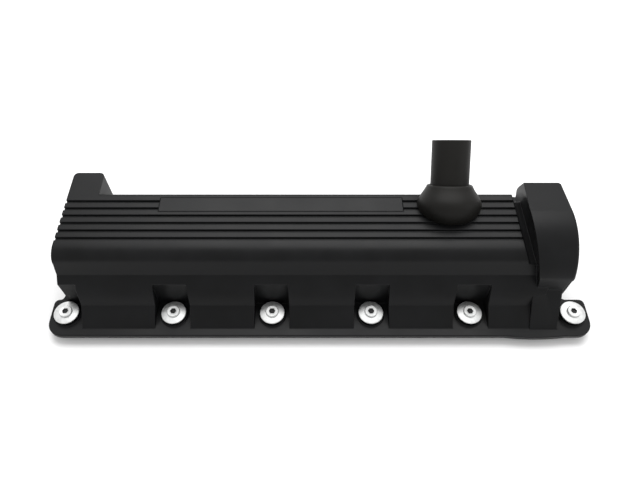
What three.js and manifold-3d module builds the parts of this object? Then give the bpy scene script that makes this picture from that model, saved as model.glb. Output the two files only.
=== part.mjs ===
// Valve cover (cam cover) of one bank of an overhead-cam V8, with its captive bolts, isolators, gasket,
// oil baffle, breather grommet and oil filler neck. Millimetres, +Z up, +X towards the engine's front.
// The sealing face is parallel to XY, and the origin is under the middle of the flange, at the bolts' tips.
// Sections are laid out from a line 8 mm off the flange's middle, and the finished part is moved over the origin.
import * as THREE from "three";
import { mergeVertices } from "three/addons/utils/BufferGeometryUtils.js";
import Module from "manifold-3d";

const wasm = await Module();
wasm.setup();

// ---------- driving dimensions ----------

const GAP = 0.3; // clearance between pieces that only rest on each other

// flange
const flangeLength = 550;
const flangeNearY = -96; // outer long edge
const flangeFarY = 80; // valley-side long edge
// the ends of the flange reach their full length only round the corner bolts
const flangeEars = { nearEar: -55, farEar: 42, frontEdge: 251, rearEdge: -266, rounding: 6 };
const flangeThickness = 5;
const flangeCorner = 16;
const flangeSwell = { fromX: 185, toX: 247, bulge: 2 }; // long edges beside the sprocket housing
const bossHeight = 6.5; // top of the flange around each bolt
const bossRadius = 13.6;

// bolt layout
const bolt = {
  inset: 18, // corner bolts, from the flange's ends
  nearInset: 23, // outer row, from its long edge
  farInset: 19, // valley-side row, from its long edge
  pitch: 100, // between neighbouring bolts of the outer row, one per cylinder
  rowShift: 2, // middle of the four pitched bolts, from the flange's middle
  farStart: -205, // the valley-side row starts clear of the breather chamber
  farPitch: 98,
  farCount: 5, // and one more at the front corner
  threadRadius: 3,
  length: 20, // under the head
  headRadius: 6.5,
  headHeight: 2,
  socketRadius: 2.9, // across the corners
  socketDepth: 1.5,
};
const washer = { radius: 12.5, rim: 1.4, dish: 1.1, holeRadius: 3.3 };
const sleeve = { radius: 4.5, height: 9.5 };
const isolator = { bodyRadius: 7.7, collarRadius: 11, collarHeight: 2.4, hole: 8 };

// body cross-section, as [Y, height over the sealing face] from the flange up to the deck
const nearSection = [
  [-88, 5],
  [-76, 16],
  [-70, 20],
  [-62.5, 40],
  [-52, 49.5],
  [-47.5, 62],
];
const farSection = [
  [68, 5],
  [56, 14],
  [50, 22],
  [46, 40],
  [36, 52],
  [31.5, 70.5],
];
const deck = { nearY: -31, farY: 28, height: 74, endX: 197, endSlopeX: 202, saddle: 63 };
const body = {
  rearX: -258, // rear end wall
  frontX: 224, // where the skirt ends inside the sprocket housing
  wall: 3.5,
  roof: 5.5, // thickness of the deck, under the ribs
};

// grooves between the ribs of the deck
const groove = { count: 6, pitch: 9.1, firstY: -25.3, width: 3, depth: 2.4 };

// blank pad over the two valley-side grooves
const pad = { startX: -162, endX: 84, innerY: 7.4, outerY: 25, rise: 0.6 };

// bolt pockets in the skirt
const pocket = { nearWall: 59, farWall: 46.5, halfWidth: 16, flare: 2, top: 47 };

// sprocket housing at the front
const housing = {
  topX: 203, // rear rim at the crown of the arch
  lowX: 213, // rear rim lower down, at lowZ
  lowZ: 44,
  frontX: 246,
  centreY: -9,
  centreZ: 34,
  radius: 57,
  nearY: -61.5, // flat near side of the arch
  shoulderY: 36, // end of the straight shoulder
  shoulderZ: 86,
  farY: 47, // flat far side of the arch
  farZ: 62,
  leaveAngle: 82, // where the arch turns into the straight shoulder, degrees over the horizontal
  edge: 4,
  footStartX: 211,
  footEndX: 242,
  footTop: 38,
  skewX: 203, // the rear rim also runs forward on the valley side, from here
  skewY: -2,
  skewSlope: 0.1, // forward per unit across
};

// breather chamber at the rear, on the valley side
const chamber = {
  length: 32,
  outerY: 59,
  corner: 5,
  floor: 24, // of its hollow, where it stands outside the gasket
  portZ: 50,
  portRadius: 8,
  padRadius: 12.5,
  padHeight: 1.6,
};
const grommet = { hole: 5, lipRadius: 11, lip: 2.4 };

// gasket groove
const seal = { grooveWidth: 4, grooveDepth: 3.5, gasketWidth: 3.4, standOut: 1.5 };
seal.nearY = -60.8;
seal.farY = 48.3;
seal.rearX = -261;
seal.frontX = 246.5;
seal.corner = 8;

// Oil filler neck. Its elbow is a bowl about a tilted axis, with an upright spigot in the deck.
const neck = {
  x: 130.5,
  centreY: 22, // origin of the tilted axis
  centreZ: deck.height + 5,
  tilt: 45, // of the tube, from vertical towards the valley side
  mouthHeight: 12.6, // all heights along the tube are from the axis's origin
  socketDepth: 7.6,
  tubeRadius: 19,
  tubeWall: 3,
  tubeEnd: 56.6,
  oilway: 12,
  spigotY: 8.5,
  spigotRadius: 16,
  spigotFloor: deck.height - 14,
  collarRadius: 20, // ring under the deck round the spigot
  sealHeight: deck.height - 9.5,
};
// [radius, height] along the tilted axis
const bowlOutline = [
  [0, -29.5],
  [12, -28.5],
  [21, -25],
  [28, -18.5],
  [31.2, -13],
  [32.2, -8.5],
  [31.2, -3],
  [27.6, 3.2],
  [23.6, 9.5],
  [22.4, 11.6],
  [21, 12.6],
  [0, 12.6],
];
// balls that join the tube's bore to the upright oilway: [Y, height, radius]
const bends = [
  [17.5, deck.height + 14.5, 11.5],
  [8.5, deck.height + 11, 12],
];
const spigotHole = neck.spigotRadius + GAP;
const tubeSeat = neck.mouthHeight - neck.socketDepth;

// baffle plate under the deck
const baffle = { startX: -246, endX: -66, nearY: -33, farY: 26, thickness: 1.5, slots: 5 };
baffle.height = deck.height - 23;
const baffleScrew = { rows: 2, edge: 6, radius: 2, head: 4, headHeight: 2, endInset: 14 };

// ---------- heights worked out from the above ----------

const washerSeat = sleeve.height + GAP;
const headSeat = washerSeat + washer.rim + washer.dish + GAP;
const sealingHeight = bolt.length - headSeat; // sealing face over the bolts' tips

// ---------- helpers ----------

const rad = THREE.MathUtils.degToRad;

function toSolid(geometry) {
  const plain = (geometry.index ? geometry.toNonIndexed() : geometry.clone());
  plain.deleteAttribute("normal");
  plain.deleteAttribute("uv");
  const merged = mergeVertices(plain, 1e-4);
  return new wasm.Manifold(
    new wasm.Mesh({
      numProp: 3,
      vertProperties: merged.attributes.position.array,
      triVerts: new Uint32Array(merged.index.array),
    }),
  );
}

function toGeometry(solid) {
  const mesh = solid.getMesh();
  const places = new Float32Array(mesh.numVert * 3);
  for (let i = 0; i < mesh.numVert; i++) {
    places.set(mesh.vertProperties.subarray(i * mesh.numProp, i * mesh.numProp + 3), i * 3);
  }
  const geometry = new THREE.BufferGeometry();
  geometry.setAttribute("position", new THREE.BufferAttribute(places, 3));
  geometry.setIndex(new THREE.BufferAttribute(mesh.triVerts, 1));
  geometry.computeVertexNormals();
  return geometry;
}

const unite = (solids) => solids.reduce((sum, solid) => sum.add(solid));

function box(x0, x1, y0, y1, z0, z1) {
  const geometry = new THREE.BoxGeometry(x1 - x0, y1 - y0, z1 - z0);
  return toSolid(geometry.translate((x0 + x1) / 2, (y0 + y1) / 2, (z0 + z1) / 2));
}

function cylinder(radius, z0, z1, x, y, sides) {
  const geometry = new THREE.CylinderGeometry(radius, radius, z1 - z0, sides);
  return toSolid(geometry.rotateX(Math.PI / 2).translate(x, y, (z0 + z1) / 2));
}

// A solid of revolution about Z from [radius, height] points that start and end on the axis.
function turned(points, sides) {
  const outline = points.map(([r, z]) => new THREE.Vector2(r, z));
  return new THREE.LatheGeometry(outline, sides).rotateX(Math.PI / 2);
}

// A ring about Z from a closed loop of [radius, height] points.
function turnedRing(points, sides) {
  const outline = [...points, points[0]].map(([r, z]) => new THREE.Vector2(r, z));
  return new THREE.LatheGeometry(outline, sides).rotateX(Math.PI / 2);
}

// A cross-section in Y and Z, swept along X.
function alongX(shape, x0, x1, options = {}) {
  const geometry = new THREE.ExtrudeGeometry(shape, {
    depth: x1 - x0,
    bevelEnabled: false,
    curveSegments: 6,
    ...options,
  });
  const turn = new THREE.Matrix4().makeBasis(
    new THREE.Vector3(0, 1, 0),
    new THREE.Vector3(0, 0, 1),
    new THREE.Vector3(1, 0, 0),
  );
  return toSolid(geometry.applyMatrix4(turn).translate(x0, 0, 0));
}

function roundedRectangle(x0, x1, y0, y1, radius) {
  const shape = new THREE.Shape();
  shape.moveTo(x0 + radius, y0);
  shape.lineTo(x1 - radius, y0);
  shape.absarc(x1 - radius, y0 + radius, radius, -Math.PI / 2, 0);
  shape.lineTo(x1, y1 - radius);
  shape.absarc(x1 - radius, y1 - radius, radius, 0, Math.PI / 2);
  shape.lineTo(x0 + radius, y1);
  shape.absarc(x0 + radius, y1 - radius, radius, Math.PI / 2, Math.PI);
  shape.lineTo(x0, y0 + radius);
  shape.absarc(x0 + radius, y0 + radius, radius, Math.PI, Math.PI * 1.5);
  return shape;
}

function plate(shape, z0, z1, curveSegments = 5) {
  const geometry = new THREE.ExtrudeGeometry(shape, {
    depth: z1 - z0,
    bevelEnabled: false,
    curveSegments,
  });
  return toSolid(geometry.translate(0, 0, z0));
}

// ---------- places of the bolts ----------

const endBoltX = flangeLength / 2 - bolt.inset;
const nearRowX = [-endBoltX];
for (let i = 0; i < 4; i++) nearRowX.push(bolt.rowShift + (i - 1.5) * bolt.pitch);
nearRowX.push(endBoltX);
const farRowX = [];
for (let i = 0; i < bolt.farCount; i++) farRowX.push(bolt.farStart + i * bolt.farPitch);
farRowX.push(endBoltX);
const boltPlaces = [
  ...nearRowX.map((x) => ({ x, y: flangeNearY + bolt.nearInset })),
  ...farRowX.map((x) => ({ x, y: flangeFarY - bolt.farInset })),
];

// ---------- cover shell ----------

// Body cross-section. Below the deck it can stop at the saddle, between the deck and the housing.
function bodyShape(top) {
  const shape = new THREE.Shape();
  shape.moveTo(nearSection[0][0], 0);
  nearSection.forEach(([y, z]) => shape.lineTo(y, z));
  const [shoulderY, shoulderZ] = nearSection[nearSection.length - 1];
  if (top < deck.height) {
    shape.lineTo(shoulderY + 3, top);
    shape.lineTo(deck.farY, top);
  } else {
    // the shoulder is a quarter of an ellipse between the near wall and the deck
    for (let i = 1; i <= 6; i++) {
      const turn = (i / 6) * (Math.PI / 2);
      shape.lineTo(
        deck.nearY + (shoulderY - deck.nearY) * Math.cos(turn),
        shoulderZ + (deck.height - shoulderZ) * Math.sin(turn),
      );
    }
    shape.lineTo(deck.farY, deck.height);
    shape.lineTo(deck.farY + 2.4, deck.height - 1);
  }
  const far = [...farSection].reverse().filter(([, z]) => z < top);
  far.forEach(([y, z]) => shape.lineTo(y, z));
  shape.lineTo(farSection[0][0], 0);
  return shape;
}

// The inside is straight below the ledge, because the bolt pockets cut in beside it.
const nearHollow = -pocket.nearWall + body.wall;
const farHollow = pocket.farWall - body.wall;
function cavityShape(roofZ) {
  const { wall } = body;
  const shape = new THREE.Shape();
  shape.moveTo(nearHollow, -1);
  shape.lineTo(nearHollow, 35);
  shape.lineTo(nearSection[4][0] + wall, nearSection[4][1] - 2);
  shape.lineTo(nearSection[5][0] + wall, Math.min(61, roofZ - 3));
  shape.lineTo(deck.nearY, roofZ);
  shape.lineTo(deck.farY - wall + 1, roofZ);
  shape.lineTo(farSection[4][0] - wall, farSection[4][1] - 4);
  shape.lineTo(farHollow, 35);
  shape.lineTo(farHollow, -1);
  return shape;
}

// Arch of the sprocket housing: round above, with a flat near side and a straight far shoulder.
function housingShape(inset) {
  const r = housing.radius - inset;
  const near = housing.nearY + inset;
  const far = housing.farY - inset;
  const start = Math.PI - Math.acos((housing.centreY - near) / r);
  const shape = new THREE.Shape();
  shape.moveTo(near, 0);
  shape.lineTo(near, housing.centreZ);
  shape.absarc(housing.centreY, housing.centreZ, r, start, rad(housing.leaveAngle), true);
  shape.lineTo(housing.shoulderY - 0.8 * inset, housing.shoulderZ - inset);
  shape.lineTo(far, housing.farZ - inset / 2);
  shape.lineTo(far, 0);
  return shape;
}

// The foot flares from the arch's sides down to the flange.
function housingFoot() {
  const shape = new THREE.Shape();
  shape.moveTo(nearSection[0][0] - 1, 0);
  shape.lineTo(nearSection[0][0] - 1, flangeThickness);
  shape.lineTo(housing.nearY + 1, housing.footTop);
  shape.lineTo(housing.farY - 1, housing.footTop);
  shape.lineTo(farSection[0][0] + 1, flangeThickness);
  shape.lineTo(farSection[0][0] + 1, 0);
  return alongX(shape, housing.footStartX, housing.footEndX);
}

function pocketCutter(x, side) {
  // wider at the flange than at the top, and open towards the flange's edge
  const top = pocket.halfWidth;
  const bottom = pocket.halfWidth + pocket.flare;
  const wallY = side < 0 ? pocket.nearWall : pocket.farWall;
  const shape = new THREE.Shape();
  shape.moveTo(x - bottom, 0);
  shape.lineTo(x + bottom, 0);
  shape.lineTo(x + top, pocket.top);
  shape.lineTo(x - top, pocket.top);
  const geometry = new THREE.ExtrudeGeometry(shape, { depth: 60, bevelEnabled: false });
  // the drawing plane stands up: its Y is height, and it is swept along -Y from the pocket's wall
  geometry.rotateX(Math.PI / 2).translate(0, -wallY, flangeThickness);
  const cutter = toSolid(geometry);
  return side < 0 ? cutter : cutter.mirror([0, 1, 0]);
}

// The neck's own frame: its Z is the tube's axis, and its origin is the centre of the bowl.
const neckFrame = new THREE.Matrix4()
  .makeTranslation(neck.x, neck.centreY, neck.centreZ)
  .multiply(new THREE.Matrix4().makeRotationX(-rad(neck.tilt)));

const inNeck = (geometry) => toSolid(geometry.applyMatrix4(neckFrame));
const neckUpright = (radius, z0, z1) => cylinder(radius, z0, z1, neck.x, neck.spigotY, 28);

// The deck ends in a slope down to the saddle.
function makeBodyOuter() {
  const drop = deck.height - deck.saddle;
  const run = deck.endSlopeX - deck.endX;
  const reach = Math.hypot(drop, run);
  const offset = (deck.endX * drop + deck.height * run) / reach;
  const ribbed = alongX(bodyShape(deck.height), body.rearX, deck.endSlopeX + 1);
  return unite([
    ribbed.trimByPlane([-drop / reach, 0, -run / reach], -offset),
    alongX(bodyShape(deck.saddle), deck.endX, body.frontX),
  ]);
}
const bodyOuter = makeBodyOuter();
const chamberX = body.rearX + chamber.length;
const chamberOuter = plate(
  roundedRectangle(body.rearX, chamberX, 0, chamber.outerY, chamber.corner),
  0,
  deck.height,
).add(box(body.rearX, chamberX, 0, chamber.outerY / 2, 0, deck.height));

// The rear rim of the housing leans back, so its extrusion is cut by a sloping plane.
function makeHousing() {
  const { topX, lowX, lowZ, frontX, edge, centreZ, radius } = housing;
  const crownZ = centreZ + radius;
  const arch = alongX(housingShape(edge), topX, frontX - edge, {
    bevelEnabled: true,
    bevelSize: edge,
    bevelThickness: edge,
    bevelSegments: 2,
    curveSegments: 18,
  });
  const lean = (lowX - topX) / (crownZ - lowZ);
  const reach = Math.hypot(1, lean);
  const offset = (lowX + lean * lowZ) / reach;
  const foot = housingFoot();
  return arch
    .trimByPlane([0, 0, 1], 0)
    .trimByPlane([1 / reach, 0, lean / reach], offset)
    .trimByPlane(...skewPlane(0))
    .add(foot);
}

// The rear rim's second plane, an inset further into the housing.
function skewPlane(inset) {
  const { skewX, skewY, skewSlope } = housing;
  const reach = Math.hypot(1, skewSlope);
  return [[1 / reach, -skewSlope / reach, 0], (skewX - skewY * skewSlope) / reach + inset];
}
const housingOuter = makeHousing();

function flangeShape() {
  const x = flangeLength / 2;
  const near = flangeNearY;
  const far = flangeFarY;
  const r = flangeCorner;
  const { nearEar, farEar, rounding: e } = flangeEars;
  const front = flangeEars.frontEdge;
  const rear = flangeEars.rearEdge;
  const { fromX, toX, bulge } = flangeSwell;
  const middle = (fromX + toX) / 2;
  const shape = new THREE.Shape();
  shape.moveTo(-x + r, near);
  shape.lineTo(fromX, near);
  shape.quadraticCurveTo(middle, near - 2 * bulge, toX, near);
  shape.absarc(x - r, near + r, r, -Math.PI / 2, 0);
  // between its bolt ears, the front edge stands back
  shape.lineTo(x, nearEar - e);
  shape.quadraticCurveTo(x, nearEar, x - e, nearEar);
  shape.lineTo(front + e, nearEar);
  shape.quadraticCurveTo(front, nearEar, front, nearEar + e);
  shape.lineTo(front, farEar - e);
  shape.quadraticCurveTo(front, farEar, front + e, farEar);
  shape.lineTo(x - e, farEar);
  shape.quadraticCurveTo(x, farEar, x, farEar + e);
  shape.absarc(x - r, far - r, r, 0, Math.PI / 2);
  shape.lineTo(toX, far);
  shape.quadraticCurveTo(middle, far + 2 * bulge, fromX, far);
  shape.absarc(rear + r, far - r, r, Math.PI / 2, Math.PI);
  // the rear edge has one ear only
  shape.lineTo(rear, nearEar + e);
  shape.quadraticCurveTo(rear, nearEar, rear - e / 2, nearEar);
  shape.quadraticCurveTo(-x, nearEar, -x, nearEar - e);
  shape.absarc(-x + r, near + r, r, Math.PI, Math.PI * 1.5);
  return shape;
}

function deckGrooves() {
  return Array.from({ length: groove.count }, (_, i) => {
    const y = groove.firstY + i * groove.pitch;
    const half = groove.width / 2;
    const floor = deck.height - groove.depth;
    return box(body.rearX - 1, deck.endSlopeX, y - half, y + half, floor, deck.height + 1);
  });
}

function shellHollow() {
  const { wall, roof, rearX } = body;
  const { height, endX, saddle } = deck;
  const roofZ = height - roof;
  const insideEnd = chamberX - wall;
  const farWall = chamber.outerY - wall;
  const housingInside = alongX(housingShape(wall), housing.lowX + wall, housing.frontX - wall, {
    curveSegments: 14,
  });
  const arch = housingInside.trimByPlane(...skewPlane(wall));
  return unite([
    alongX(cavityShape(roofZ), rearX + wall, endX - wall),
    alongX(cavityShape(saddle - wall), endX - wall - 1, housing.lowX + wall + 1),
    arch,
    arch.translate([0, 0, -2]).trimByPlane([0, -1, 0], -farHollow),
    box(rearX + wall, insideEnd, 0, farWall, chamber.floor, roofZ),
  ]);
}

function makeShell() {
  const flange = plate(flangeShape(), 0, flangeThickness);
  const pockets = boltPlaces.map(({ x, y }) => pocketCutter(x, Math.sign(y)));
  const walls = unite([bodyOuter, housingOuter]).subtract(unite(pockets));
  const bosses = boltPlaces.map(({ x, y }) => cylinder(bossRadius, 0, bossHeight, x, y, 24));
  const padTop = deck.height + pad.rise;
  const blankPad = box(
    pad.startX,
    pad.endX,
    pad.innerY,
    pad.outerY,
    deck.height - groove.depth - 1,
    padTop,
  );

  const portPlace = [(body.rearX + chamberX) / 2, chamber.outerY, chamber.portZ];
  const port = new THREE.CylinderGeometry(chamber.portRadius, chamber.portRadius, 30, 24);
  const portBoss = new THREE.CylinderGeometry(chamber.padRadius, chamber.padRadius, 4, 28);
  portBoss.translate(0, chamber.padHeight - 2, 0);

  const roofZ = deck.height - body.roof;
  const bossFoot = baffle.height + baffle.thickness + GAP;
  const screwBosses = baffleScrewPlaces.map(({ x, y }) =>
    cylinder(baffleScrew.radius + 2.5, bossFoot, roofZ + 1, x, y, 16),
  );
  const collar = neckUpright(neck.collarRadius, neck.spigotFloor + 1, deck.height);
  const holes = boltPlaces.map(({ x, y }) => cylinder(isolator.hole, -1, bossHeight + 1, x, y, 16));
  const screwHoles = baffleScrewPlaces.map(({ x, y }) =>
    cylinder(baffleScrew.radius + GAP, baffle.height, roofZ - 2, x, y, 14),
  );

  return unite([flange, walls, chamberOuter, ...bosses, toSolid(portBoss.translate(...portPlace))])
    .subtract(unite(deckGrooves()))
    .add(blankPad)
    .subtract(shellHollow())
    .add(unite([...screwBosses, collar.intersect(bodyOuter)]))
    .subtract(
      unite([
        ...holes,
        ...screwHoles,
        sealRing(seal.grooveWidth, -1, seal.grooveDepth),
        neckUpright(spigotHole, neck.spigotFloor - 10, deck.height + 4),
        toSolid(port.translate(...portPlace)),
      ]),
    );
}

// ---------- gasket ----------

function sealRing(width, z0, z1) {
  const { rearX, frontX, nearY, farY, corner } = seal;
  const outline = (half) =>
    roundedRectangle(rearX - half, frontX + half, nearY - half, farY + half, corner + half);
  return plate(outline(width / 2), z0, z1).subtract(plate(outline(-width / 2), z0 - 1, z1 + 1));
}

const makeGasket = () => sealRing(seal.gasketWidth, -seal.standOut, seal.grooveDepth - GAP);

// ---------- baffle ----------

const baffleScrewPlaces = [];
for (let i = 0; i < baffleScrew.rows; i++) {
  const first = baffle.startX + baffleScrew.endInset;
  const last = baffle.endX - baffleScrew.endInset;
  const x = first + ((last - first) * i) / (baffleScrew.rows - 1);
  baffleScrewPlaces.push({ x, y: baffle.nearY + baffleScrew.edge });
  baffleScrewPlaces.push({ x, y: baffle.farY - baffleScrew.edge });
}

function makeBaffle() {
  const y0 = baffle.nearY;
  const y1 = baffle.farY;
  const middle = (y0 + y1) / 2;
  const top = baffle.height + baffle.thickness;
  const lip = 8;
  const sheet = unite([
    plate(roundedRectangle(baffle.startX, baffle.endX, y0, y1, 6), baffle.height, top, 3),
    box(baffle.startX + 8, baffle.endX - 8, y0, y0 + baffle.thickness, top - lip, top),
    box(baffle.startX + 8, baffle.endX - 8, y1 - baffle.thickness, y1, top - lip, top),
  ]);
  const cuts = baffleScrewPlaces.map(({ x, y }) =>
    cylinder(baffleScrew.radius + GAP, baffle.height - 1, top + 1, x, y, 14),
  );
  const step = (baffle.endX - baffle.startX) / (baffle.slots + 1);
  for (let i = 1; i <= baffle.slots; i++) {
    const x = baffle.startX + i * step;
    const slot = roundedRectangle(x - 3, x + 3, middle - 13, middle + 13, 2.9);
    cuts.push(plate(slot, baffle.height - 1, top + 1, 3));
  }
  return sheet.subtract(unite(cuts));
}

function baffleScrewGeometry() {
  const { radius, head, headHeight } = baffleScrew;
  const reach = 9;
  return turned(
    [[0, -headHeight], [head * 0.7, -headHeight], [head, -0.6], [head, -GAP], [radius, -GAP], [radius, reach], [0, reach]],
    14,
  );
}

// ---------- oil filler neck ----------

function makeElbow() {
  const { oilway, mouthHeight, tubeRadius, tubeWall, sealHeight, spigotRadius, spigotFloor } = neck;
  const socket = tubeRadius + GAP;
  const bore = tubeRadius - tubeWall;
  const mouth = [
    [0, tubeSeat - 0.8],
    [bore, tubeSeat - 0.8],
    [bore, tubeSeat],
    [socket, tubeSeat],
    [socket, mouthHeight + 1],
    [0, mouthHeight + 1],
  ];
  const balls = bends.map(([y, z, radius]) => {
    const ball = new THREE.SphereGeometry(radius, 20, 10);
    return toSolid(ball.translate(neck.x, y, z));
  });
  const grown = unite([bodyOuter.translate([0, 0, GAP]), bodyOuter.translate([0, GAP, 0])]);
  const bowl = inNeck(turned(bowlOutline, 32)).subtract(grown);
  const [, topZ] = bends[bends.length - 1];
  const spigot = neckUpright(spigotRadius, spigotFloor, deck.height + 4);
  const sealRoom = neckUpright(spigotRadius + 1, sealHeight - GAP, sealHeight + 2 + GAP);
  const sealCore = neckUpright(spigotRadius - 2.6, sealHeight - 2, sealHeight + 4);
  return bowl
    .add(spigot)
    .subtract(sealRoom.subtract(sealCore))
    .subtract(
      unite([inNeck(turned(mouth, 28)), ...balls, neckUpright(oilway, spigotFloor - 1, topZ)]),
    );
}

// Ring in the spigot's groove.
function makeNeckSeal() {
  const { spigotRadius, sealHeight } = neck;
  const outer = neckUpright(spigotRadius, sealHeight, sealHeight + 2);
  return outer.subtract(neckUpright(spigotRadius - 2.6 + GAP, sealHeight - 1, sealHeight + 3));
}

function makeTube() {
  const { tubeRadius, tubeWall, tubeEnd } = neck;
  const foot = tubeSeat + GAP;
  const bore = tubeRadius - tubeWall;
  return inNeck(
    turnedRing(
      [
        [bore, foot],
        [tubeRadius, foot],
        [tubeRadius, tubeEnd - 0.8],
        [tubeRadius - 0.8, tubeEnd],
        [bore, tubeEnd],
      ],
      28,
    ),
  );
}

// ---------- breather grommet ----------

function grommetGeometry() {
  const outer = chamber.portRadius - GAP;
  const face = chamber.padHeight + GAP;
  return turnedRing(
    [
      [grommet.hole, -body.wall - 2],
      [outer, -body.wall - 2],
      [outer, face],
      [grommet.lipRadius, face],
      [grommet.lipRadius - 1, face + grommet.lip],
      [grommet.hole, face + grommet.lip],
    ],
    24,
  ).rotateX(-Math.PI / 2); // its axis now points along +Y
}

// ---------- fasteners, each about Z through its own bolt, from the sealing face up ----------

function isolatorGeometry() {
  const inner = sleeve.radius + GAP;
  const seat = bossHeight + GAP;
  return turnedRing(
    [
      [inner, 0.6],
      [isolator.bodyRadius, 0.6],
      [isolator.bodyRadius, seat],
      [isolator.collarRadius, seat],
      [isolator.collarRadius - 1, seat + isolator.collarHeight],
      [inner, seat + isolator.collarHeight],
    ],
    16,
  );
}

function sleeveGeometry() {
  const inner = bolt.threadRadius + 2 * GAP;
  return turnedRing(
    [[inner, GAP], [sleeve.radius, GAP], [sleeve.radius, sleeve.height], [inner, sleeve.height]],
    12,
  );
}

function washerGeometry() {
  const hub = bolt.headRadius;
  return turnedRing(
    [
      [washer.holeRadius, washerSeat],
      [washer.radius, washerSeat],
      [washer.radius, washerSeat + washer.rim],
      [hub, washerSeat + washer.rim + washer.dish],
      [washer.holeRadius, washerSeat + washer.rim + washer.dish],
    ],
    24,
  );
}

function makeBolt() {
  const top = headSeat + bolt.headHeight;
  const tip = headSeat - bolt.length;
  const { threadRadius, headRadius } = bolt;
  const blank = turned(
    [
      [0, tip],
      [threadRadius - 0.8, tip],
      [threadRadius, tip + 1],
      [threadRadius, headSeat],
      [headRadius, headSeat],
      [headRadius, top - 0.8],
      [headRadius - 0.8, top],
      [0, top],
    ],
    14,
  );
  const key = new THREE.CylinderGeometry(bolt.socketRadius, bolt.socketRadius, bolt.socketDepth * 2, 6);
  return toSolid(blank).subtract(toSolid(key.rotateX(Math.PI / 2).translate(0, 0, top)));
}

// ---------- materials ----------

const material = (color, roughness, metalness) =>
  new THREE.MeshStandardMaterial({ color, roughness, metalness });
const satinBlack = material(0x1c1d1f, 0.42, 0.1);
const neckBlack = material(0x1d1c19, 0.5, 0);
const rubber = material(0x0e0e0e, 0.8, 0);
const gasketRubber = material(0x24211f, 0.75, 0);
const zinc = material(0xc9cac6, 0.32, 1);
const steel = material(0x9b9c98, 0.4, 1);
const sheetSteel = material(0x7c7d7a, 0.45, 1);

// ---------- assembly ----------

const part = new THREE.Group();

function add(name, geometry, finish, x = 0, y = 0, z = 0) {
  const mesh = new THREE.Mesh(geometry, finish);
  mesh.name = name;
  mesh.position.set(x, y, z);
  part.add(mesh);
  return mesh;
}

add("cover_shell", toGeometry(makeShell()), satinBlack);
add("cover_gasket", toGeometry(makeGasket()), gasketRubber);
add("filler_elbow", toGeometry(makeElbow()), neckBlack);
add("filler_tube", toGeometry(makeTube()), neckBlack);
add("filler_elbow_seal", toGeometry(makeNeckSeal()), rubber);
add("oil_baffle", toGeometry(makeBaffle()), sheetSteel);
baffleScrewPlaces.forEach(({ x, y }, i) => {
  add(`baffle_screw_${i + 1}`, baffleScrewGeometry(), steel, x, y, baffle.height);
});
add(
  "breather_grommet",
  grommetGeometry(),
  rubber,
  (body.rearX + chamberX) / 2,
  chamber.outerY,
  chamber.portZ,
);

const boltSolid = toGeometry(makeBolt());
boltPlaces.forEach(({ x, y }, i) => {
  const n = i + 1;
  add(`bolt_isolator_${n}`, isolatorGeometry(), rubber, x, y);
  add(`bolt_sleeve_${n}`, sleeveGeometry(), steel, x, y);
  add(`bolt_washer_${n}`, washerGeometry(), zinc, x, y);
  add(`bolt_${n}`, boltSolid, zinc, x, y);
});

part.position.set(0, -(flangeNearY + flangeFarY) / 2, sealingHeight);
const root = new THREE.Group();
root.add(part);

export default root;
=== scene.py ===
# %% [markdown]
# # A valve cover, piece by piece
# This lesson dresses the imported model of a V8's valve cover: a ribbed, satin black moulding with twelve
# captive bolts, an arched housing over the cam sprocket and a tilted oil filler neck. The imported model
# gives every place and size, so each new piece is made around the node that it stands for.

# %% Load the frame
import math

import bmesh
import bpy
from mathutils import Matrix, Vector


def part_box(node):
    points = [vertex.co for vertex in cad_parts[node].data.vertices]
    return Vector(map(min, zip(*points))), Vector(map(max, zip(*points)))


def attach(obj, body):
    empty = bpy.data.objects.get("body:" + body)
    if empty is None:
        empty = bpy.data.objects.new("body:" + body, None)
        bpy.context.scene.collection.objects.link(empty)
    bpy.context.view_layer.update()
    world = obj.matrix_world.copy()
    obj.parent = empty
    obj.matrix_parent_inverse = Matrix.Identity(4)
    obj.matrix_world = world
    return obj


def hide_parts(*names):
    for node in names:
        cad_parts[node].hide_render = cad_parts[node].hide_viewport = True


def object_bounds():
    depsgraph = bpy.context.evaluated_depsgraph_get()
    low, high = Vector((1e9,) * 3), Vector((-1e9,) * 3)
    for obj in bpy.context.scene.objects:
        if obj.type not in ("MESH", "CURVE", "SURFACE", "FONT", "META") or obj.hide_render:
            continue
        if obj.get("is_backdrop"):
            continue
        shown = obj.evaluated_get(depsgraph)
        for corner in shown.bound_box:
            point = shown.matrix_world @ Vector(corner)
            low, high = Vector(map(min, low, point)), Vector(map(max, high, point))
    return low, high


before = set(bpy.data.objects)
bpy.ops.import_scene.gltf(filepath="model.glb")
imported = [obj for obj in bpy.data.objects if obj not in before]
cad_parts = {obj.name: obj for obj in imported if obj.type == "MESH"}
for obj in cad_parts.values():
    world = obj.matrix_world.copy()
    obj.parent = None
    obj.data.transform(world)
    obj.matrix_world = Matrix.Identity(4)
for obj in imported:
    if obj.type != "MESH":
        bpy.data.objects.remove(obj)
cad_low, cad_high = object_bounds()
print("packed model, mm:", [round((b - a) * 1000, 1) for a, b in zip(cad_low, cad_high)])

MM = 0.001

# %% [markdown]
# ## Camera and light
# The camera looks down on the near long side at 56 degrees. The lens and the small sideways shift give the
# same perspective as the view that the cover is known from. The light is a pale room with one large soft
# lamp above, which leaves the steep walls darker than the ribs.

# %% Camera
camera = bpy.data.objects.new("camera", bpy.data.cameras.new("camera"))
bpy.context.scene.collection.objects.link(camera)
camera.location = (-9.7 * MM, -319.2 * MM, 523.9 * MM)
camera.rotation_euler = (math.radians(34.1), 0, 0)
camera.data.sensor_width = 36
camera.data.lens = 31.1
camera.data.shift_x = 0.0156
camera.data.clip_start = 0.01
bpy.context.scene.camera = camera
print("camera set at", tuple(round(v, 3) for v in camera.location))

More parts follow.
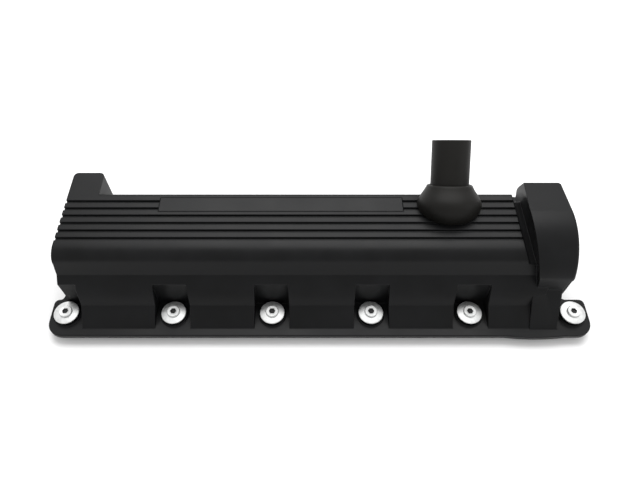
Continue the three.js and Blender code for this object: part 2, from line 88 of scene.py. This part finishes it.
# %% Room and lamps
world = bpy.data.worlds.new("pale_room")
world.use_nodes = True
world.node_tree.nodes["Background"].inputs["Color"].default_value = (1, 1, 1, 1)
world.node_tree.nodes["Background"].inputs["Strength"].default_value = 0.8
bpy.context.scene.world = world
bpy.context.scene.view_settings.view_transform = "Standard"


def soft_lamp(name, place, target, size, watts):
    """A square area lamp that faces its target."""
    data = bpy.data.lights.new(name, "AREA")
    data.shape = "RECTANGLE"
    data.size, data.size_y = size
    data.energy = watts
    lamp = bpy.data.objects.new(name, data)
    lamp.location = place
    lamp.rotation_euler = (Vector(target) - Vector(place)).to_track_quat("-Z", "Y").to_euler()
    bpy.context.scene.collection.objects.link(lamp)
    return lamp


soft_lamp("overhead", (0.05, 0.75, 1.4), (0, 0, 0.05), (1.7, 1.1), 28)
soft_lamp("right_side", (1.5, -0.5, 0.7), (0.1, 0, 0.05), (0.5, 0.5), 2)

# %% Floor
mesh = bpy.data.meshes.new("floor")
bm = bmesh.new()
bmesh.ops.create_grid(bm, x_segments=2, y_segments=2, size=6)
bmesh.ops.translate(bm, vec=(0, 0, cad_low[2] - 0.0005), verts=bm.verts)
bm.to_mesh(mesh)
bm.free()
floor = bpy.data.objects.new("floor", mesh)
bpy.context.scene.collection.objects.link(floor)
floor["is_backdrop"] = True

# %% [markdown]
# ## Finishes
# Each finish is a small network on the object's own coordinates. A helper makes the shader and its noise,
# so that every finish below only says what is special about it: its colours, its grain and its gloss.

# %% Finish helpers


def new_finish(name):
    """An empty node material and its shader."""
    finish = bpy.data.materials.new(name)
    finish.use_nodes = True
    return finish, finish.node_tree, finish.node_tree.nodes["Principled BSDF"]


def grain(tree, scale, detail=2.0, stretch=(1, 1, 1)):
    """Noise on the object's coordinates; scale is in spots per metre."""
    place = tree.nodes.new("ShaderNodeTexCoord")
    mapping = tree.nodes.new("ShaderNodeMapping")
    mapping.inputs["Scale"].default_value = stretch
    noise = tree.nodes.new("ShaderNodeTexNoise")
    noise.inputs["Scale"].default_value = scale
    noise.inputs["Detail"].default_value = detail
    tree.links.new(place.outputs["Object"], mapping.inputs["Vector"])
    tree.links.new(mapping.outputs["Vector"], noise.inputs["Vector"])
    return noise.outputs["Fac"]


def between(tree, factor, low, high, start=0.0, end=1.0):
    """Colours or numbers that follow a factor from start to end."""
    spread = tree.nodes.new("ShaderNodeMapRange")
    spread.inputs["From Min"].default_value = start
    spread.inputs["From Max"].default_value = end
    tree.links.new(factor, spread.inputs["Value"])
    if not hasattr(low, "__len__"):
        spread.inputs["To Min"].default_value = low
        spread.inputs["To Max"].default_value = high
        return spread.outputs["Result"]
    mix = tree.nodes.new("ShaderNodeMix")
    mix.data_type = "RGBA"
    mix.inputs["A"].default_value = (*low, 1)
    mix.inputs["B"].default_value = (*high, 1)
    tree.links.new(spread.outputs["Result"], mix.inputs["Factor"])
    return mix.outputs["Result"]


def bump(tree, shader, height, depth_mm, strength=1.0):
    """Relief of a depth in millimetres where height goes from 0 to 1."""
    node = tree.nodes.new("ShaderNodeBump")
    node.inputs["Strength"].default_value = strength
    node.inputs["Distance"].default_value = depth_mm * MM
    tree.links.new(height, node.inputs["Height"])
    tree.links.new(node.outputs["Normal"], shader.inputs["Normal"])


print("finish helpers ready")

# %% [markdown]
# The cover is moulded in black, glass-filled nylon. Its skin has a fine, even texture from the tool, a
# satin gloss, and a faint cloudiness where the fibres lie near the surface.

# %% Satin black moulding


def moulded_black(name, dark, light, rough_low, rough_high):
    finish, tree, shader = new_finish(name)
    clouds = grain(tree, 28, 4)
    tree.links.new(between(tree, clouds, dark, light, 0.35, 0.65), shader.inputs["Base Color"])
    tree.links.new(between(tree, clouds, rough_low, rough_high, 0.3, 0.7), shader.inputs["Roughness"])
    shader.inputs["Specular IOR Level"].default_value = 0.16
    bump(tree, shader, grain(tree, 1600, 2), 0.05, 0.5)
    return finish


cool_dark, cool_light = (0.0035, 0.0036, 0.0038), (0.0055, 0.0057, 0.0062)
warm_dark, warm_light = (0.0055, 0.0052, 0.0045), (0.0085, 0.008, 0.007)
satin_black = moulded_black("satin_black_nylon", cool_dark, cool_light, 0.36, 0.46)
neck_black = moulded_black("warm_black_nylon", warm_dark, warm_light, 0.46, 0.56)
print("mouldings:", satin_black.name, neck_black.name)

# %% Rubbers and metals


def dull_rubber(name, colour):
    finish, tree, shader = new_finish(name)
    shader.inputs["Specular IOR Level"].default_value = 0.35
    paler = tuple(c * 1.8 for c in colour)
    tree.links.new(between(tree, grain(tree, 90, 3), colour, paler, 0.4, 0.7), shader.inputs["Base Color"])
    tree.links.new(between(tree, grain(tree, 220), 0.62, 0.8, 0.3, 0.7), shader.inputs["Roughness"])
    bump(tree, shader, grain(tree, 2600), 0.03, 0.5)
    return finish


def plated_metal(name, dark, light, rough_low, rough_high, stretch=(1, 1, 1)):
    finish, tree, shader = new_finish(name)
    shader.inputs["Metallic"].default_value = 1
    mottle = grain(tree, 320, 3, stretch)
    tree.links.new(between(tree, mottle, dark, light, 0.35, 0.65), shader.inputs["Base Color"])
    tree.links.new(between(tree, mottle, rough_low, rough_high, 0.3, 0.7), shader.inputs["Roughness"])
    bump(tree, shader, grain(tree, 3200, 2, stretch), 0.012, 0.4)
    return finish


black_rubber = dull_rubber("black_rubber", (0.008, 0.008, 0.008))
gasket_rubber = dull_rubber("gasket_rubber", (0.016, 0.013, 0.012))
bright_zinc = plated_metal("bright_zinc", (0.66, 0.665, 0.66), (0.78, 0.785, 0.78), 0.5, 0.6)
bolt_zinc = plated_metal("bolt_zinc", (0.6, 0.605, 0.6), (0.72, 0.725, 0.72), 0.5, 0.6)
# Painted shade: a near-black steel for the bolts' socket faces, in place of the shadow deep inside a socket.
painted_socket_shade = plated_metal("socket_painted_shade", (0.025, 0.025, 0.025), (0.05, 0.05, 0.05), 0.5, 0.6)
plain_steel = plated_metal("plain_steel", (0.36, 0.36, 0.35), (0.5, 0.5, 0.49), 0.3, 0.45)
rolled_sheet = plated_metal("rolled_sheet", (0.3, 0.3, 0.3), (0.42, 0.42, 0.41), 0.32, 0.5, (0.12, 1, 1))

pale_floor, tree, shader = new_finish("pale_floor")
tree.links.new(between(tree, grain(tree, 3), (0.9, 0.9, 0.9), (0.93, 0.93, 0.93)), shader.inputs["Base Color"])
shader.inputs["Roughness"].default_value = 0.9
shader.inputs["Specular IOR Level"].default_value = 0.1
floor.data.materials.append(pale_floor)
print("finishes:", [m.name for m in bpy.data.materials])

# %% [markdown]
# ## Helpers for pieces
# A piece ends as one object at the origin with its place in its mesh. Turned pieces are spun from a
# profile of radius and height, and rounded mouldings start from a merged copy of their node. The copy's
# triangles are joined into whole flat faces, but a face with a hole is first parted, since one polygon
# can't go round a hole.

# %% Piece helpers


def finish_piece(bm, name, nodes, body, finish, angle=35, second=None):
    """Closes a bmesh as a smooth piece that stands for some nodes. second is for faces of material index 1."""
    mesh = bpy.data.meshes.new(name)
    bm.to_mesh(mesh)
    bm.free()
    mesh.shade_smooth()
    mesh.set_sharp_from_angle(angle=math.radians(angle))
    mesh.materials.append(finish)
    if second:
        mesh.materials.append(second)
    piece = bpy.data.objects.new(name, mesh)
    bpy.context.scene.collection.objects.link(piece)
    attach(piece, body)
    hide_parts(*nodes)
    return piece


def open_edges(bm):
    """How many edges don't join exactly two faces; a closed solid has none."""
    return sum(not e.is_manifold for e in bm.edges)


def even_shading(piece):
    """Lets large flat faces rule the shading, so that it only turns on the small bevels."""
    weights = piece.modifiers.new("face_weights", "WEIGHTED_NORMAL")
    weights.keep_sharp = True


def spun(profile, steps, close=False):
    """A bmesh turned about Z from [radius, height] points in millimetres. close joins the last to the first."""
    bm = bmesh.new()
    ring = [bm.verts.new((r * MM, 0, z * MM)) for r, z in profile]
    pairs = list(zip(ring, ring[1:]))
    if close:
        pairs.append((ring[-1], ring[0]))
    edges = [bm.edges.new(pair) for pair in pairs]
    bmesh.ops.spin(
        bm,
        geom=ring + edges,
        cent=(0, 0, 0),
        axis=(0, 0, 1),
        angle=2 * math.pi,
        steps=steps,
        use_merge=True,
    )
    bmesh.ops.remove_doubles(bm, verts=bm.verts, dist=1e-6)
    bmesh.ops.recalc_face_normals(bm, faces=bm.faces)
    return bm


def rounded_corners(points, radius, steps=3):
    """[radius, height] points with each inner corner cut to an arc; each point may name its own radius."""
    out = []
    for i, point in enumerate(points):
        if i in (0, len(points) - 1):
            out.append(point[:2])
            continue
        size = point[2] if len(point) > 2 else radius
        here = Vector(point[:2])
        back = Vector(points[i - 1][:2]) - here
        ahead = Vector(points[i + 1][:2]) - here
        reach = min(size, back.length * 0.45, ahead.length * 0.45)
        start, end = here + back.normalized() * reach, here + ahead.normalized() * reach
        for k in range(steps + 1):
            t = k / steps
            out.append(tuple((1 - t) ** 2 * start + 2 * t * (1 - t) * here + t**2 * end))
    return out


def placed(bm, matrix):
    bmesh.ops.transform(bm, matrix=matrix, verts=bm.verts)
    return bm


def grown(seed, pool, alike):
    """Faces joined to the seed through edges, taken out of the pool while they are alike."""
    part, front = {seed}, [seed]
    while front:
        for edge in front.pop().edges:
            for face in edge.link_faces:
                if face in pool and alike(face):
                    pool.remove(face)
                    part.add(face)
                    front.append(face)
    return part


def without_holes(part):
    """The part itself if it has no hole, or pieces of it that have none."""
    corners = {v for f in part for v in f.verts}
    edges = {e for f in part for e in f.edges}
    if len(corners) - len(edges) + len(part) == 1:
        return [part]
    middles = {f: f.calc_center_median() for f in part}
    spans = [max(m[i] for m in middles.values()) - min(m[i] for m in middles.values()) for i in range(3)]
    axis = spans.index(max(spans))
    order = sorted(part, key=lambda f: middles[f][axis])
    pieces = []
    for half in (set(order[: len(order) // 2]), set(order[len(order) // 2 :])):
        while half:
            pieces += without_holes(grown(half.pop(), half, lambda face: True))
    return pieces


def from_node(node):
    """A merged copy of a node's mesh with its flat faces made whole again, but never across a hole."""
    bm = bmesh.new()
    bm.from_mesh(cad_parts[node].data)
    bmesh.ops.remove_doubles(bm, verts=bm.verts, dist=2e-6)
    level = math.cos(math.radians(0.6))
    pool, inner = set(bm.faces), []
    while pool:
        seed = pool.pop()
        flat = grown(seed, pool, lambda face: face.normal.dot(seed.normal) > level)
        for part in without_holes(flat):
            edges = {e for f in part for e in f.edges}
            inner += [e for e in edges if e.is_manifold and part.issuperset(e.link_faces)]
    bmesh.ops.dissolve_edges(bm, edges=inner, use_verts=False, use_face_split=False)
    straight = []
    for v in bm.verts:
        if len(v.link_edges) == 2:
            one, two = (e.other_vert(v).co - v.co for e in v.link_edges)
            if one.angle(two, 0) > math.radians(179.4):
                straight.append(v)
    bmesh.ops.dissolve_verts(bm, verts=straight)
    return bm


print("piece helpers ready")

# %% [markdown]
# Lofts join rings that all have the same number of points. A ring may be a circle, a hexagon or one turn
# of a screw thread, so one closed skin can change from one to the next.

# %% Lofts


def lofted(rings):
    """A closed bmesh through rings of equal point counts, in millimetres, capped at both ends."""
    bm = bmesh.new()
    loops = [[bm.verts.new((x * MM, y * MM, z * MM)) for x, y, z in ring] for ring in rings]
    count = len(loops[0])
    for low, high in zip(loops, loops[1:]):
        for i in range(count):
            k = (i + 1) % count
            bm.faces.new((low[i], low[k], high[k], high[i]))
    bm.faces.new(loops[0])
    bm.faces.new(loops[-1])
    bmesh.ops.recalc_face_normals(bm, faces=bm.faces)
    return bm


def circle(radius, height, count):
    turn = 2 * math.pi / count
    return [(radius * math.cos(i * turn), radius * math.sin(i * turn), height) for i in range(count)]


def hexagon(radius, height, count):
    """A hexagon of a corner radius, with the points shared out along its sides."""
    ring = []
    for i in range(count):
        angle = 2 * math.pi * i / count
        from_middle = (angle % (math.pi / 3)) - math.pi / 6
        reach = radius * math.cos(math.pi / 6) / math.cos(from_middle)
        ring.append((reach * math.cos(angle), reach * math.sin(angle), height))
    return ring


def thread_ring(core, crest, height, pitch, count):
    """One ring of a right-handed thread, where each point stands in its own part of the profile."""
    ring = []
    for i in range(count):
        angle = 2 * math.pi * i / count
        phase = (height / pitch - i / count) % 1
        rise = 1 - abs(2 * phase - 1)
        radius = core + (crest - core) * min(1, max(0, rise * 1.3 - 0.15))
        ring.append((radius * math.cos(angle), radius * math.sin(angle), height))
    return ring


print("a hexagon of 24 points starts", [round(v, 2) for v in hexagon(3, 0, 24)[1]])

# %% [markdown]
# ## The cover
# The real moulding has small radii on every edge. The node already has the right walls, pockets and ribs,
# so its copy is merged and its sharp edges are bevelled. The sealing face underneath is cut flat on the real
# cover, and its rim beside the gasket groove is thin, so its edges stay crisp.

# %% Cover
cover_mesh = from_node("cover_shell")
sealing_face = min(v.co.z for v in cover_mesh.verts) + 0.05 * MM
sharp = [
    e
    for e in cover_mesh.edges
    if e.is_manifold
    and e.calc_face_angle() > math.radians(28)
    and max(v.co.z for v in e.verts) > sealing_face
]
print("cover: faces", len(cover_mesh.faces), "sharp edges", len(sharp))
bmesh.ops.bevel(
    cover_mesh,
    geom=sharp,
    offset=0.7 * MM,
    offset_type="OFFSET",
    affect="EDGES",
    segments=2,
    profile=0.5,
    material=-1,
    clamp_overlap=False,
)
print("cover after its bevel: faces", len(cover_mesh.faces), "open edges", open_edges(cover_mesh))
cover = finish_piece(cover_mesh, "cover", ["cover_shell"], "cover", satin_black, 50)
even_shading(cover)

# %% [markdown]
# ## The oil filler neck
# The elbow is a bowl about an axis that leans 45 degrees to the valley side. It is turned from a rounded
# profile, and then cut to sit on the deck and over its far edge. An upright spigot goes down into the deck,
# and two balls join the tube's bore to the spigot's. The cuts are booleans, made once and kept as a mesh.

# %% Neck frame
neck_tilt = Matrix.Rotation(math.radians(-45), 4, "X")
elbow_low, elbow_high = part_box("filler_elbow")
axis_x = (elbow_low[0] + elbow_high[0]) / 2 / MM
_, tube_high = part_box("filler_tube")
sealing_z = 7.4  # the sealing face over the bolts' tips
centre_y = 30.0
centre_z = 79.0 + sealing_z
neck_frame = Matrix.Translation((axis_x * MM, centre_y * MM, centre_z * MM)) @ neck_tilt
print("neck axis from", [round(v, 1) for v in neck_frame.translation / MM])

# %% Solid helpers


def solid_object(bm, name):
    """A plain object that only lives until its cut is made."""
    mesh = bpy.data.meshes.new(name)
    bmesh.ops.recalc_face_normals(bm, faces=bm.faces)
    bm.to_mesh(mesh)
    bm.free()
    obj = bpy.data.objects.new(name, mesh)
    bpy.context.scene.collection.objects.link(obj)
    return obj


def combined(base, steps):
    """A bmesh of base after adding or cutting solids in turn; all the working solids are removed."""
    for how, tool in steps:
        change = base.modifiers.new(how, "BOOLEAN")
        change.operation = how
        change.object = tool
        change.solver = "EXACT"
    bpy.context.view_layer.update()
    graph = bpy.context.evaluated_depsgraph_get()
    result = bmesh.new()
    result.from_mesh(base.evaluated_get(graph).to_mesh())
    for obj in [base] + [tool for _, tool in steps]:
        bpy.data.objects.remove(obj, do_unlink=True)
    bmesh.ops.remove_doubles(result, verts=result.verts, dist=2e-6)
    return result


def upright(radius, low, high, x, y, steps=72):
    bm = spun([(0, low), (radius, low), (radius, high), (0, high)], steps)
    return placed(bm, Matrix.Translation((x * MM, y * MM, 0)))


def ball(radius, x, y, z):
    bm = bmesh.new()
    bmesh.ops.create_uvsphere(bm, u_segments=48, v_segments=24, radius=radius * MM)
    return placed(bm, Matrix.Translation((x * MM, y * MM, z * MM)))


print("solid helpers ready")

# %% Elbow
bowl_profile = [
    (0, -29.5),
    (8, -29.2),
    (15, -27.7),
    (21, -25),
    (25.2, -21.6),
    (28.6, -17.6),
    (31.0, -13.4),
    (32.2, -8.5),
    (32.0, -4.8),
    (30.6, -1.4),
    (28.6, 1.8),
    (26.6, 4.6),
    (24.8, 7.3),
    (23.4, 9.8),
    (22.8, 11.2),
    (22.0, 12.2),
    (20.9, 12.6),
    (0, 12.6),
]
mouth_profile = [(0, 4.2), (16, 4.2), (16, 5), (19.3, 5), (19.3, 12.1), (19.8, 13), (0, 13)]
spigot_y = 8.5 + 8
deck_z = 74.3 + sealing_z
spigot_low = elbow_low[2] / MM
seat = [
    (-24, deck_z),
    (36.3, deck_z),
    (38.7, deck_z - 1),
    (39.8, deck_z - 3.5),
    (44.3, 52.3 + sealing_z),
    (54.3, 40.3 + sealing_z),
    (54.3, 20),
    (-24, 20),
]
seat_mesh = bmesh.new()
near_end = seat_mesh.faces.new([seat_mesh.verts.new(((axis_x - 50) * MM, y * MM, z * MM)) for y, z in seat])
swept = bmesh.ops.extrude_face_region(seat_mesh, geom=[near_end])["geom"]
bmesh.ops.translate(
    seat_mesh,
    vec=(100 * MM, 0, 0),
    verts=[v for v in swept if isinstance(v, bmesh.types.BMVert)],
)
elbow_mesh = combined(
    solid_object(placed(spun(bowl_profile, 96), neck_frame), "bowl"),
    [
        ("DIFFERENCE", solid_object(seat_mesh, "seat")),
        ("UNION", solid_object(upright(16, spigot_low, deck_z + 4, axis_x, spigot_y), "spigot")),
        ("DIFFERENCE", solid_object(placed(spun(mouth_profile, 96), neck_frame), "mouth")),
        ("DIFFERENCE", solid_object(ball(11.5, axis_x, 25.5, 88.5 + sealing_z), "upper_bend")),
        ("DIFFERENCE", solid_object(ball(12, axis_x, spigot_y, 85 + sealing_z), "lower_bend")),
        (
            "DIFFERENCE",
            solid_object(upright(12, spigot_low - 1, 85 + sealing_z, axis_x, spigot_y), "oilway"),
        ),
    ],
)
print("elbow faces", len(elbow_mesh.faces), "open edges", open_edges(elbow_mesh))
nodes = ["filler_elbow"]
elbow = finish_piece(elbow_mesh, "filler_elbow_piece", nodes, "cover", neck_black, 40)

# %% Tube
tube_profile = rounded_corners(
    [(16, 20), (16, 5.3), (19, 5.3), (19, 56.6, 0.9), (16, 56.6, 0.9), (16, 19.5)],
    0.4,
    4,
)
tube_mesh = placed(spun(tube_profile[1:], 96, close=True), neck_frame)
nodes = ["filler_tube"]
tube = finish_piece(tube_mesh, "filler_tube_piece", nodes, "cover", neck_black)
print("tube reaches", [round(v / MM, 1) for v in tube_high])

# %% Spigot seal
seal_low, seal_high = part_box("filler_elbow_seal")
ring_profile = rounded_corners(
    [
        (14.8, seal_low[2] / MM),
        (13.7, seal_low[2] / MM),
        (13.7, seal_high[2] / MM),
        (16, seal_high[2] / MM),
        (16, seal_low[2] / MM),
        (14.9, seal_low[2] / MM),
    ],
    0.8,
    4,
)
here = Matrix.Translation((axis_x * MM, spigot_y * MM, 0))
seal_mesh = placed(spun(ring_profile, 72, close=True), here)
nodes = ["filler_elbow_seal"]
finish_piece(seal_mesh, "spigot_seal_ring", nodes, "cover", black_rubber)
print("spigot seal", round((seal_high[2] - seal_low[2]) / MM, 2), "mm thick")

# %% [markdown]
# ## Captive bolts
# Each of the twelve bolts stands in a rubber isolator with a steel sleeve, under a wide dished washer. Its
# low head has a hexagon socket. The thread is one loft whose rings follow the turn of the helix, so it is
# a real thread of 1 mm pitch all the way to the tip.

# %% Bolt profile
POINTS = 36


def bolt_mesh(x, y, low, high):
    """A bolt from the tip's height to the head's top, in millimetres."""
    under_head = high - 2
    rings = [circle(0.3, low, POINTS), circle(2.0, low, POINTS), circle(2.45, low + 0.45, POINTS)]
    steps = int((under_head - 2 - low - 0.8) * 8)
    for k in range(steps):
        rings.append(thread_ring(2.42, 2.99, low + 0.8 + k / 8, 1.0, POINTS))
    top_of_thread = low + 0.8 + steps / 8
    rings += [
        circle(2.6, top_of_thread + 0.2, POINTS),
        circle(3.0, top_of_thread + 0.6, POINTS),
        circle(3.0, under_head, POINTS),
        circle(6.1, under_head, POINTS),
        circle(6.5, under_head + 0.3, POINTS),
        circle(6.5, high - 0.9, POINTS),
        circle(6.3, high - 0.35, POINTS),
        circle(5.8, high, POINTS),
        circle(3.5, high, POINTS),
        hexagon(3.2, high - 0.15, POINTS),
        hexagon(2.9, high - 0.35, POINTS),
        hexagon(2.85, high - 1.35, POINTS),
        circle(1.7, high - 1.45, POINTS),
        circle(0.3, high - 1.5, POINTS),
    ]
    return placed(lofted(rings), Matrix.Translation((x * MM, y * MM, 0)))


names = [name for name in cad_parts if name.startswith("bolt_") and name[5:].isdigit()]
bolts = sorted(int(name[5:]) for name in names)
print("bolts:", bolts)

# %% Bolts, washers, isolators and sleeves


def washer_profile(low):
    """A flat-bottomed rim that rises to the seat of the head, in millimetres."""
    return rounded_corners(
        [
            (8, low),
            (12.5, low, 0.45),
            (12.5, low + 1.4, 0.5),
            (6.5, low + 2.5, 1.0),
            (3.3, low + 2.5, 0.3),
            (3.3, low, 0.3),
            (7.9, low),
        ],
        0.3,
        3,
    )


def isolator_profile(low, high):
    return rounded_corners(
        [
            (6, low),
            (7.7, low, 0.5),
            (7.7, high - 2.4, 0.3),
            (11, high - 2.4, 0.5),
            (10.2, high, 0.9),
            (4.8, high, 0.4),
            (4.8, low, 0.4),
            (5.9, low),
        ],
        0.4,
        3,
    )


def sleeve_profile(low, high):
    return rounded_corners(
        [(4, low), (4.5, low), (4.5, high), (3.6, high), (3.6, low), (3.9, low)],
        0.15,
        2,
    )


for n in bolts:
    low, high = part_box(f"bolt_{n}")
    x, y = (low[0] + high[0]) / 2 / MM, (low[1] + high[1]) / 2 / MM
    here = Matrix.Translation((x * MM, y * MM, 0))
    screw = bolt_mesh(x, y, low[2] / MM, high[2] / MM)
    centre = Vector((x * MM, y * MM))
    # Faces inside the socket get material index 1, the near-black steel that paints the socket's shade.
    for face in screw.faces:
        middle = face.calc_center_median()
        if middle.z > high[2] - 1.7 * MM and (middle.xy - centre).length < 3.1 * MM:
            face.material_index = 1
    name, nodes, body = f"captive_bolt_{n}", [f"bolt_{n}"], f"screw_{n}"
    finish_piece(screw, name, nodes, body, bolt_zinc, 30, painted_socket_shade)
    low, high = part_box(f"bolt_washer_{n}")
    disc = placed(spun(washer_profile(low[2] / MM), 72, close=True), here)
    name, nodes, body = f"dished_washer_{n}", [f"bolt_washer_{n}"], f"washer_{n}"
    finish_piece(disc, name, nodes, body, bright_zinc, 50)
    low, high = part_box(f"bolt_isolator_{n}")
    ring = placed(spun(isolator_profile(low[2] / MM, high[2] / MM), 56, close=True), here)
    name, nodes = f"isolator_ring_{n}", [f"bolt_isolator_{n}"]
    finish_piece(ring, name, nodes, "cover", black_rubber)
    low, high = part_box(f"bolt_sleeve_{n}")
    ring = placed(spun(sleeve_profile(low[2] / MM, high[2] / MM), 48, close=True), here)
    name, nodes = f"steel_sleeve_{n}", [f"bolt_sleeve_{n}"]
    finish_piece(ring, name, nodes, "cover", plain_steel)
print("captive bolts done:", len(bolts))

# %% [markdown]
# ## Underside: gasket, baffle and its screws
# The gasket and the baffle keep their nodes' outlines and get rounded edges. The baffle's screws are low
# domes with a hexagon socket, seen only from below.

# %% Gasket and baffle
for node, name, slot, finish, size in (
    ("cover_gasket", "gasket_ring", "gasket_rubber", gasket_rubber, 0.6),
    ("oil_baffle", "baffle_plate", "sheet_steel", rolled_sheet, 0.3),
):
    bm = from_node(node)
    edges = [e for e in bm.edges if e.is_manifold and e.calc_face_angle() > math.radians(40)]
    bmesh.ops.bevel(
        bm,
        geom=edges,
        offset=size * MM,
        offset_type="OFFSET",
        affect="EDGES",
        segments=2,
        profile=0.5,
        material=-1,
        clamp_overlap=True,
    )
    print(name, "faces", len(bm.faces), "open edges", open_edges(bm))
    even_shading(finish_piece(bm, name, [node], "cover", finish, 50))

# %% Baffle screws
for n in range(1, 5):
    low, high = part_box(f"baffle_screw_{n}")
    x, y, z = (low[0] + high[0]) / 2 / MM, (low[1] + high[1]) / 2 / MM, low[2] / MM
    rings = [
        circle(0.2, z + 1.2, 24),
        hexagon(1.45, z + 1.1, 24),
        hexagon(1.5, z + 0.2, 24),
        circle(1.75, z, 24),
        circle(2.6, z + 0.1, 24),
        circle(3.4, z + 0.6, 24),
        circle(3.85, z + 1.2, 24),
        circle(4, z + 1.7, 24),
        circle(2, z + 1.7, 24),
        circle(2, high[2] / MM - 0.4, 24),
        circle(1.6, high[2] / MM, 24),
        circle(0.2, high[2] / MM, 24),
    ]
    bm = placed(lofted(rings), Matrix.Translation((x * MM, y * MM, 0)))
    name, nodes = f"baffle_dome_screw_{n}", [f"baffle_screw_{n}"]
    finish_piece(bm, name, nodes, "cover", plain_steel)
print("baffle screws at height", round(z, 1))

# %% Breather grommet
low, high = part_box("breather_grommet")
x, z = (low[0] + high[0]) / 2 / MM, (low[2] + high[2]) / 2 / MM
back, face = low[1] / MM, high[1] / MM
grommet_profile = rounded_corners(
    [
        (6, back),
        (7.7, back, 0.4),
        (7.7, face - 2.4, 0.3),
        (11, face - 2.4, 0.4),
        (10.6, face, 1.1),
        (5, face, 0.9),
        (5, back, 0.5),
        (5.9, back),
    ],
    0.4,
    4,
)
turn = Matrix.Rotation(math.radians(-90), 4, "X")
here = Matrix.Translation((x * MM, 0, z * MM))
grommet = placed(spun(grommet_profile, 64, close=True), here @ turn)
nodes = ["breather_grommet"]
finish_piece(grommet, "breather_grommet_ring", nodes, "cover", black_rubber)
print("grommet from", round(back, 1), "to", round(face, 1))

# %% [markdown]
# ## Sizes
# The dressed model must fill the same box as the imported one, so both boxes are written down to compare.

# %% Sizes and finish
low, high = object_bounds()
print("dressed model, mm:", [round((b - a) * 1000, 1) for a, b in zip(low, high)])
